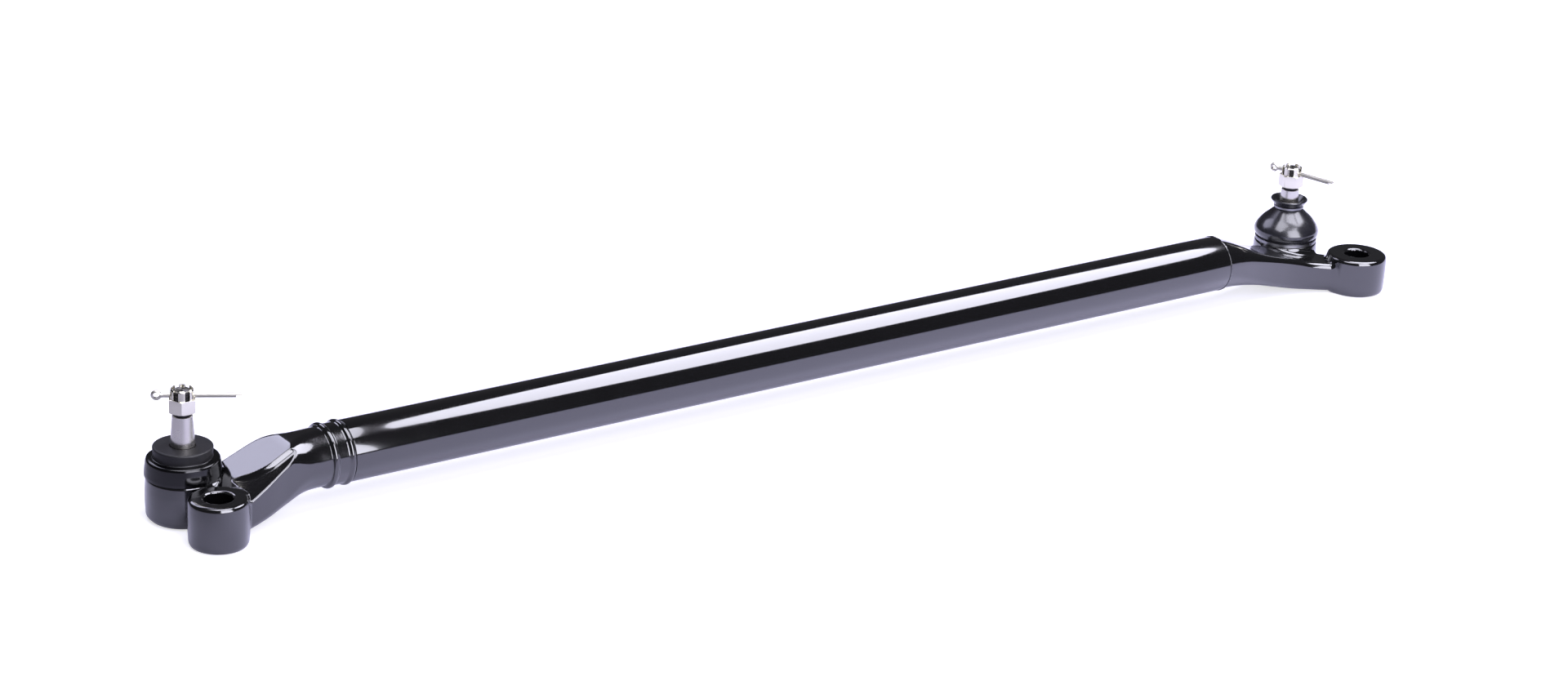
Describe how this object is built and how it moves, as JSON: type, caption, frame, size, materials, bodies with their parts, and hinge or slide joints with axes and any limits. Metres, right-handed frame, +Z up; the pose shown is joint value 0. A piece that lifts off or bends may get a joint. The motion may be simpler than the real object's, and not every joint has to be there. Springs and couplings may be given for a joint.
{
  "type": "steering center link",
  "caption": "Tubular steering center link with forged ends, each with an upright ball stud under a dust boot and a tapered eye for a tie rod.",
  "frame": {"origin": "middle of the part's box, at the level of the feet of the bosses", "axes": "+X along the tube, +Y to the side of the ball joints, +Z up along the ball studs"},
  "size_m": [1.0565, 0.1027, 0.092],
  "materials": {
    "gloss_black_paint": "gloss black enamel",
    "black_pressed_steel": "semi-gloss black",
    "spring_steel": "oiled",
    "seat_polymer": "moulded",
    "left_boot_rubber": "matte moulded rubber",
    "right_boot_rubber": "satin moulded rubber",
    "ring_steel": "black oxide",
    "turned_steel": "turned and ground",
    "zinc_plate": "bright zinc plate",
    "pin_wire": "bright wire"
  },
  "bodies": {
    "link": {"center_tube": "gloss_black_paint", "left_forged_end": "gloss_black_paint", "right_forged_end": "gloss_black_paint", "left_socket_cap": "black_pressed_steel", "left_preload_spring": "spring_steel", "left_lower_seat": "seat_polymer", "left_dust_boot": "left_boot_rubber", "left_boot_base_ring": "ring_steel", "right_socket_cap": "black_pressed_steel", "right_preload_spring": "spring_steel", "right_lower_seat": "seat_polymer", "right_dust_boot": "right_boot_rubber", "right_boot_base_ring": "ring_steel"},
    "left_swivel": {"left_ball_seat": "seat_polymer"},
    "left_tilt": {"left_boot_neck_ring": "ring_steel"},
    "left_stud": {"left_ball_stud": "turned_steel", "left_castle_nut": "zinc_plate", "left_cotter_pin": "pin_wire"},
    "right_swivel": {"right_ball_seat": "seat_polymer"},
    "right_tilt": {"right_boot_neck_ring": "ring_steel"},
    "right_stud": {"right_ball_stud": "turned_steel", "right_castle_nut": "zinc_plate", "right_cotter_pin": "pin_wire"}
  },
  "joints": [
    {"name": "left_ball_swivel", "type": "hinge", "parent": "link", "child": "left_swivel", "pos_m": [-0.50245, 0.0255, 0.0206], "axis": [0, 0, 1], "continuous": true},
    {"name": "left_ball_tilt", "type": "hinge", "parent": "left_swivel", "child": "left_tilt", "pos_m": [-0.50245, 0.0255, 0.0206], "axis": [0, 1, 0], "range_deg": [-20, 20], "deforming": ["left_dust_boot"]},
    {"name": "left_stud_spin", "type": "hinge", "parent": "left_tilt", "child": "left_stud", "pos_m": [-0.50245, 0.0255, 0.0206], "axis": [0, 0, 1], "continuous": true},
    {"name": "right_ball_swivel", "type": "hinge", "parent": "link", "child": "right_swivel", "pos_m": [0.47525, 0.0255, 0.0206], "axis": [0, 0, 1], "continuous": true},
    {"name": "right_ball_tilt", "type": "hinge", "parent": "right_swivel", "child": "right_tilt", "pos_m": [0.47525, 0.0255, 0.0206], "axis": [0, 1, 0], "range_deg": [-20, 20], "deforming": ["right_dust_boot"]},
    {"name": "right_stud_spin", "type": "hinge", "parent": "right_tilt", "child": "right_stud", "pos_m": [0.47525, 0.0255, 0.0206], "axis": [0, 0, 1], "continuous": true}
  ]
}
